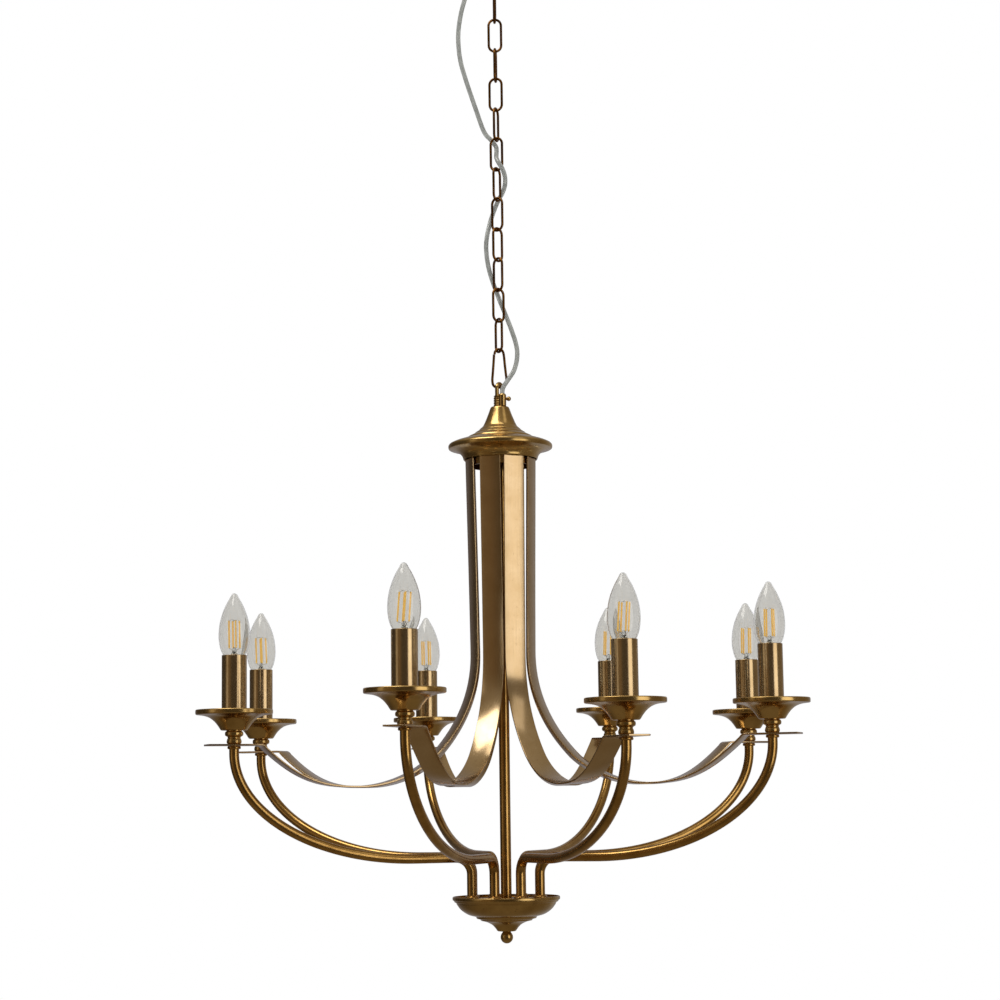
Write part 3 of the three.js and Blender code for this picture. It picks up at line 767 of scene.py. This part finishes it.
def strap_line(circle, tab):
    """Middle line of a strap, (radius, height), from inside the cap down, out and up to the tab's end."""
    lowest = LEVEL - BOWL_DEPTH
    bowl = circle - 144
    start = circle - TAB_HALF
    line = [Vector((TOP_RADIUS, CAP_LOW.z + 7)), Vector((TOP_RADIUS - 0.1, CAP_LOW.z))]
    for share in (0.25, 0.5, 0.75, 1):
        radius = WAIST + (TOP_RADIUS - WAIST) * (1 - share) ** 1.2
        line.append(Vector((radius, CAP_LOW.z - share * (COLUMN_LENGTH - COLUMN_FOOT))))
    runs = [
        [(WAIST, LEVEL + COLUMN_FOOT), (WAIST - 1, LEVEL - 42), (WAIST + 18, LEVEL - 84),
         (WAIST + 54, LEVEL - 119)],
        [(WAIST + 54, LEVEL - 119), (WAIST + 78, LEVEL - 140), (bowl - 29, lowest), (bowl, lowest)],
        [(bowl, lowest), (bowl + 44, lowest), (start - 44, tab - 41), (start - 3, tab - 4)],
        [(start - 3, tab - 4), (start - 0.5, tab - 0.8), (start + 1, tab), (start + 4, tab)],
    ]
    for run, steps in zip(runs, (18, 14, 20, 5)):
        a, b, c, d = (Vector(p) for p in run)
        for k in range(1, steps + 1):
            t = k / steps
            line.append(a * (1 - t) ** 3 + b * 3 * t * (1 - t) ** 2 + c * 3 * t * t * (1 - t) + d * t ** 3)
    line.append(Vector((circle + TAB_HALF, tab)))
    return line


def strip(line):
    """A bmesh of flat strip bent along a (radius, height) line, with a UV map along and across it."""
    bm = bmesh.new()
    uv = bm.loops.layers.uv.new("UVMap")
    offset = []
    for i, point in enumerate(line):
        along = heading(line, i)
        offset.append(point + Vector((-along.y, along.x)) * STRAP_THICKNESS / 2)
    verts = [bm.verts.new((p.x, -STRAP_WIDTH / 2, p.y)) for p in offset]
    edges = [bm.edges.new(pair) for pair in zip(verts, verts[1:])]
    made = bmesh.ops.extrude_edge_only(bm, edges=edges)["geom"]
    far_edge = [v for v in made if isinstance(v, bmesh.types.BMVert)]
    bmesh.ops.translate(bm, verts=far_edge, vec=(0, STRAP_WIDTH, 0))
    bmesh.ops.recalc_face_normals(bm, faces=bm.faces)
    bm.normal_update()
    top_face = max(bm.faces, key=lambda face: face.calc_center_median().z)
    inward = top_face.normal.x < 0
    bmesh.ops.solidify(bm, geom=bm.faces[:], thickness=-STRAP_THICKNESS if inward else STRAP_THICKNESS)
    bmesh.ops.recalc_face_normals(bm, faces=bm.faces)
    sharp = [e for e in bm.edges if e.is_manifold and e.calc_face_angle() > radians(60)]
    bmesh.ops.bevel(
        bm, geom=sharp, offset=STRAP_EDGE, segments=3, profile=0.5, affect="EDGES", material=-1,
        offset_type="OFFSET",
    )
    run = [0]
    for a, b in zip(line, line[1:]):
        run.append(run[-1] + (b - a).length)
    for face in bm.faces:
        for loop in face.loops:
            co = loop.vert.co
            spot = Vector((co.x, co.z))
            nearest = min(range(len(line)), key=lambda i: (line[i] - spot).length_squared)
            extra = (spot - line[nearest]).dot(heading(line, nearest))
            loop[uv].uv = ((run[nearest] + extra) * MM, co.y * MM)
    return bm


def arm_line(circle, end):
    """Middle line of an arm: up out of the dish, out along the flat run, and up under the candle."""
    level = LEVEL - ARM_DEPTH
    sweep_start, sweep_top = FOOT_RADIUS + 68, end - 7
    across, rise = circle - sweep_start, sweep_top - level
    line = [(FOOT_RADIUS, DISH_HIGH.z - 8), (FOOT_RADIUS, level - FOOT_BEND - 8)]
    for a in arc(0, pi / 2, 10):
        line.append((FOOT_RADIUS + FOOT_BEND * (1 - cos(a)), level - FOOT_BEND * (1 - sin(a))))
    line += [(FOOT_RADIUS + 34, level), (FOOT_RADIUS + 52, level)]
    line += [(sweep_start + across * sin(a), sweep_top - rise * cos(a)) for a in arc(0, pi / 2, 64)]
    line += [(circle, end)]
    return [(r, 0, z) for r, z in line]


def make_arm(number, circle, azimuth, top):
    tube = wire(arm_line(circle, top - 1), ARM_RADIUS, 24)
    ferrule = rounded([
        (0, -3.4), (5.4, -3.4), (7.0, -3.2, 0.5), (7.5, -2.2, 0.6), (7.5, -0.9, 0.6), (6.9, 0), (0, 0),
    ])
    ferrule = moved(spun(ferrule, 40), x=circle, z=top)
    foot = rounded([(5.4, 0), (8.2, 0, 0.4), (8.2, 2.6, 0.9), (6.2, 4.2, 0.8), (5.4, 4.4), (5.4, 0)])
    foot = moved(spun(foot, 32), x=FOOT_RADIUS, z=DISH_HIGH.z - 2.7)
    arm = turned(joined(tube, ferrule, foot), azimuth)
    piece(f"arm_{number}_tube", arm, TUBE_BRASS, "lamp", [f"arm_{number}"])


def make_strap(number, circle, azimuth, arm_top):
    tab = arm_top + TAB_GAP + STRAP_THICKNESS / 2
    strap = turned(strip(strap_line(circle, tab)), azimuth)
    piece(
        f"strap_{number}_strip", strap, STRAP_BRASS, "lamp", [f"strap_{number}"],
        crease=40,
    )


def make_pan(number, x, y):
    """The fluted cup under a candle, and the turned knuckle and threaded nipple that carry it."""
    node = f"drip_pan_{number}"
    brass = spun_brass(f"spun_brass_pan_{number}", x, y)
    foot = place(node)[1].z - PAN_HEIGHT
    cup = rounded([
        (0, 0), (14.4, 0, 0.6), (15.3, 0.9, 0.8), (18.4, 5.8, 4), (22.2, 10.4, 5), (27.4, 14.4, 6),
        (34.0, 16.6, 5), (40.6, 17.4, 0.8), (42.5, 17.6, 0.6), (43.1, 18.6, 0.6), (43.1, 22.2, 0.6),
        (42.5, PAN_HEIGHT, 0.6), (41.4, PAN_HEIGHT),
    ])
    piece(f"{node}_cup", moved(spun_sheet(cup, 1.1, 80), x, y, foot), brass, "lamp", [node])
    knuckle = rounded([
        (0, -15.0), (7.0, -15.0), (8.2, -14.2, 0.8), (8.4, -12.0, 1.4), (7.8, -9.8, 1.2), (7.2, -9.0, 0.5),
        (7.2, -7.4, 0.8), (8.4, -6.6, 0.6), (10.0, -5.8, 0.8), (10.4, -3.4, 1.6), (9.8, -1.4, 1.0),
        (8.6, -0.9, 0.3), (8.6, 0.0), (0, 0),
    ], 4)
    nipple = spun([(0, -23), (4, -23), (4, -14.8), (0, -14.8)], 20)
    knuckle = moved(joined(spun(knuckle, 48), nipple), x, y, foot)
    piece(f"{node}_knuckle", knuckle, brass, "lamp", [node])


def make_sleeve(number, x, y, top):
    """The candle's sleeve and the lampholder inside it."""
    node = f"candle_sleeve_{number}"
    sleeve = rounded([
        (12.8, -76.8), (14, -76.8), (14, -0.3, 0.3), (13.6, 0, 0.3), (13.0, 0, 0.3), (12.8, -0.4),
        (12.8, -76.8),
    ], 3)
    sleeve = moved(spun(sleeve, 64), x, y, top)
    piece(f"{node}_tube", sleeve, SLEEVE_BRASS, "lamp", [node])
    holder = rounded([
        (0, -76), (11.5, -76), (11.5, -40, 1), (12.5, -38, 1), (12.5, -7.4, 0.5), (12.1, -7.0),
        (8.2, -7.0, 0.5), (7.5, -7.6, 0.4), (7.5, -34), (0, -34),
    ], 3)
    holder = moved(spun(holder, 40), x, y, top)
    piece(f"lampholder_{number}", holder, RESIN, "lamp", [node])


# How each bulb's four filaments stand: their turn in degrees, and their lean to the right in millimetres.
FILAMENT_CAGES = [(22, -0.6), (8, 2.2), (22, 1.8), (24, 0.2), (24, 0.4), (28, 1.0), (30, -0.4), (12, -1.2)]
CAGE_LOW, CAGE_HIGH = 8.0, 38.5
FILAMENT_RADIUS, LEAD_RADIUS = 0.95, 0.25


def make_bulb(number, x, y, top):
    body = f"bulb_{number}"
    outside = through([
        (7.2, -6), (9.2, -4.6), (11.2, -2.4), (12.5, 0), (14.8, 5), (16.6, 12), (17.5, 20), (17.3, 28),
        (16.1, 37), (14.0, 45), (11.4, 52), (8.6, 58), (6.0, 62.6), (4.2, 66), (3.0, 68), (1.5, 69.1),
        (0, 69.3),
    ], 4)
    inside = []
    for i, point in enumerate(outside):
        along = heading(outside, i)
        inside.append(Vector((max(point.x - along.y * BULB_WALL, 0), point.y + along.x * BULB_WALL)))
    inside[-1] = Vector((0, outside[-1].y - 2 * BULB_WALL))
    shell = moved(spun(outside + inside[::-1] + outside[:1], 56), x, y, top)
    piece(f"{body}_glass", shell, GLASS, body, [body], crease=60)

    stem = rounded([
        (0, -5), (7.6, -5), (6.4, -2, 2), (3.6, 1.6, 2), (2.2, 4.4, 1.6), (2.4, 6.4, 0.8), (1.6, 8.4, 0.6),
        (0, 8.8),
    ])
    piece(f"{body}_stem", moved(spun(stem, 24), x, y, top), STEM_GLASS, body)

    thread = [(0, -30), (2.4, -30, 0.6), (2.8, -28.4, 0.3), (5.4, -27.2, 0.6), (6.4, -26, 0.5)]
    for i in range(6):
        thread += [(6.9, -25 + i * 2.8, 0.9), (6.2, -23.6 + i * 2.8, 0.9)]
    thread += [(6.9, -8, 0.5), (7.1, -5.6, 0.4), (6.4, -5.2), (0, -5.2)]
    cap = moved(spun(rounded(thread, 3), 32), x, y, top)
    piece(f"{body}_cap", cap, NICKEL, body)

    turn, lean = FILAMENT_CAGES[number - 1]
    strips, leads, tips = [], [], []
    for k in range(4):
        angle = radians(turn) + k * pi / 2
        out = Vector((cos(angle), sin(angle), 0))
        foot = out * 6.2 + Vector((-lean / 2, 0, CAGE_LOW))
        tip = out * 6.0 + Vector((lean / 2, 0, CAGE_HIGH))
        strips.append(wire([foot, foot.lerp(tip, 0.5), tip], FILAMENT_RADIUS, 10))
        root = [out * 1.4 + Vector((0, 0, 3)), out * 3 + Vector((0, 0, 6))]
        leads.append(wire([*root, foot], LEAD_RADIUS, 6))
        tips.append(tip)
    for first, second in (tips[:2], tips[2:]):
        bridge = first.lerp(second, 0.5) + Vector((0, 0, 1.2))
        leads.append(wire([first, bridge, second], LEAD_RADIUS, 6))
    piece(f"{body}_filaments", moved(joined(*strips), x, y, top), PHOSPHOR, body)
    piece(f"{body}_leads", moved(joined(*leads), x, y, top), TINNED, body)


def make_side(number):
    """An arm with its strap and its candle."""
    circle, azimuth, top = candle(number)
    x, y = circle * cos(azimuth), circle * sin(azimuth)
    arm_top = place(f"arm_{number}")[1].z
    make_arm(number, circle, azimuth, arm_top)
    make_strap(number, circle, azimuth, arm_top)
    make_pan(number, x, y)
    make_sleeve(number, x, y, top)
    make_bulb(number, x, y, top)


for number in range(1, 9):
    make_side(number)

# ------------------------------------------------------------------ studio


# Each softbox: direction and rise in degrees, distance, width and height in metres, power and colour.
SOFTBOXES = {
    "key_softbox": (-46, 1, 2.6, 1.45, 2.1, 12.2, "FFFAF2"),
    "left_softbox": (-152, 10, 2.6, 0.7, 2.2, 1.3, "FFF4E4"),
    "overhead_left": (-147, 62, 2.4, 1.5, 0.9, 15, "FFFCF6"),
    "overhead_right": (-38, 50, 2.4, 0.7, 1.1, 1.2, "FFFAF2"),
    "top_softbox": (-110, 80, 2.2, 1.0, 0.8, 4, "FFFAF2"),
}
# The room's glow in reflections: round the lamp from its left by way of the front, as shares of a turn, and
# from straight below to straight above.
ROOM_AROUND = [
    (0.0, (0.03, 0.022, 0.01, 1)), (0.06, (0.15, 0.11, 0.06, 1)), (0.14, (0.155, 0.1, 0.046, 1)),
    (0.20, (0.06, 0.045, 0.025, 1)), (0.31, (0.05, 0.035, 0.02, 1)), (0.37, (0.12, 0.09, 0.05, 1)),
    (0.56, (0.18, 0.14, 0.09, 1)), (0.66, (0.28, 0.27, 0.28, 1)), (0.75, (0.34, 0.34, 0.38, 1)),
    (0.80, (0.18, 0.17, 0.19, 1)), (0.88, (0.05, 0.04, 0.03, 1)),
]
ROOM_UPWARDS = [
    (0.0, (0.17, 0.13, 0.08, 1)), (0.5, (0.12, 0.09, 0.05, 1)), (1.0, (0.34, 0.29, 0.21, 1)),
]
FLOOR_DROP, FLOOR_RADIUS = 900, 4.5


def area_light(name, azimuth, elevation, distance, width, height, power, colour):
    """A softbox that faces the lamp's column from a direction, in degrees."""
    data = bpy.data.lights.new(name, "AREA")
    data.shape = "RECTANGLE"
    data.size, data.size_y = width, height
    data.energy = power
    data.color = linear(colour)[:3]
    light = bpy.data.objects.new(name, data)
    target = Vector((0, 0, LEVEL * MM))
    a, e = radians(azimuth), radians(elevation)
    light.location = target + Vector((cos(a) * cos(e), sin(a) * cos(e), sin(e))) * distance
    light.rotation_euler = (light.location - target).to_track_quat("Z", "Y").to_euler()
    scene.collection.objects.link(light)


def studio_world():
    """White to the camera, and a dim warm room in reflections."""
    world = bpy.data.worlds.new("studio")
    scene.world = world
    world.use_nodes = True
    tree = world.node_tree
    tree.nodes.clear()
    where = add(tree, "ShaderNodeTexCoord")
    parts = add(tree, "ShaderNodeSeparateXYZ", {0: where.outputs["Generated"]})
    azimuth = add(
        tree, "ShaderNodeMath", {0: parts.outputs["Y"], 1: parts.outputs["X"]}, operation="ARCTAN2"
    )
    share = add(tree, "ShaderNodeMapRange", {"Value": azimuth.outputs[0]}, From_Min=-pi, From_Max=pi)
    around = add(tree, "ShaderNodeValToRGB", {"Fac": share.outputs[0]}, ROOM_AROUND)
    rise = add(tree, "ShaderNodeMapRange", {"Value": parts.outputs["Z"]}, From_Min=-1.0)
    upwards = add(tree, "ShaderNodeValToRGB", {"Fac": rise.outputs[0]}, ROOM_UPWARDS)
    steep = add(tree, "ShaderNodeMath", {0: parts.outputs["Z"]}, operation="ABSOLUTE")
    steep = add(tree, "ShaderNodeMapRange", {"Value": steep.outputs[0]}, From_Min=0.3, From_Max=0.8)
    room = add(
        tree, "ShaderNodeMix",
        {0: steep.outputs[0], 6: around.outputs["Color"], 7: upwards.outputs["Color"]}, data_type="RGBA",
    )
    bright = add(tree, "ShaderNodeBackground", Color=WHITE, Strength=1.0)
    dim = add(tree, "ShaderNodeBackground", {"Color": room.outputs[2]}, Strength=1.0)
    rays = add(tree, "ShaderNodeLightPath")
    mirrored = add(
        tree, "ShaderNodeMath", {0: rays.outputs["Is Glossy Ray"], 1: rays.outputs["Is Transmission Ray"]},
        operation="SUBTRACT", use_clamp=True,
    )
    both = add(
        tree, "ShaderNodeMixShader", {0: mirrored.outputs[0], 1: bright.outputs[0], 2: dim.outputs[0]}
    )
    add(tree, "ShaderNodeOutputWorld", {"Surface": both.outputs[0]})


def studio_floor():
    """Pale paper that only the lamp's underside sees."""
    floor = bmesh.new()
    bmesh.ops.create_circle(floor, cap_ends=True, segments=96, radius=FLOOR_RADIUS)
    mesh = bpy.data.meshes.new("floor")
    floor.to_mesh(mesh)
    floor.free()
    stage = bpy.data.objects.new("floor", mesh)
    stage.location.z = (DISH_LOW.z - FLOOR_DROP) * MM
    scene.collection.objects.link(stage)
    stage.visible_glossy = False
    made, tree, where = material("pale_studio_paper")
    grain = add(tree, "ShaderNodeTexNoise", {"Vector": where.outputs["Object"]}, Scale=3.0, Detail=2.0)
    colour = add(
        tree, "ShaderNodeValToRGB", {"Fac": grain.outputs["Fac"]},
        [(0.3, (0.93, 0.93, 0.93, 1)), (0.7, (0.95, 0.95, 0.95, 1))],
    )
    shader = add(
        tree, "ShaderNodeBsdfPrincipled", {"Base Color": colour.outputs["Color"]}, Roughness=0.9
    )
    finish_material(tree, shader)
    mesh.materials.append(made)


for name, setting in SOFTBOXES.items():
    area_light(name, *setting)
studio_world()
studio_floor()
scene.view_settings.view_transform = "Standard"
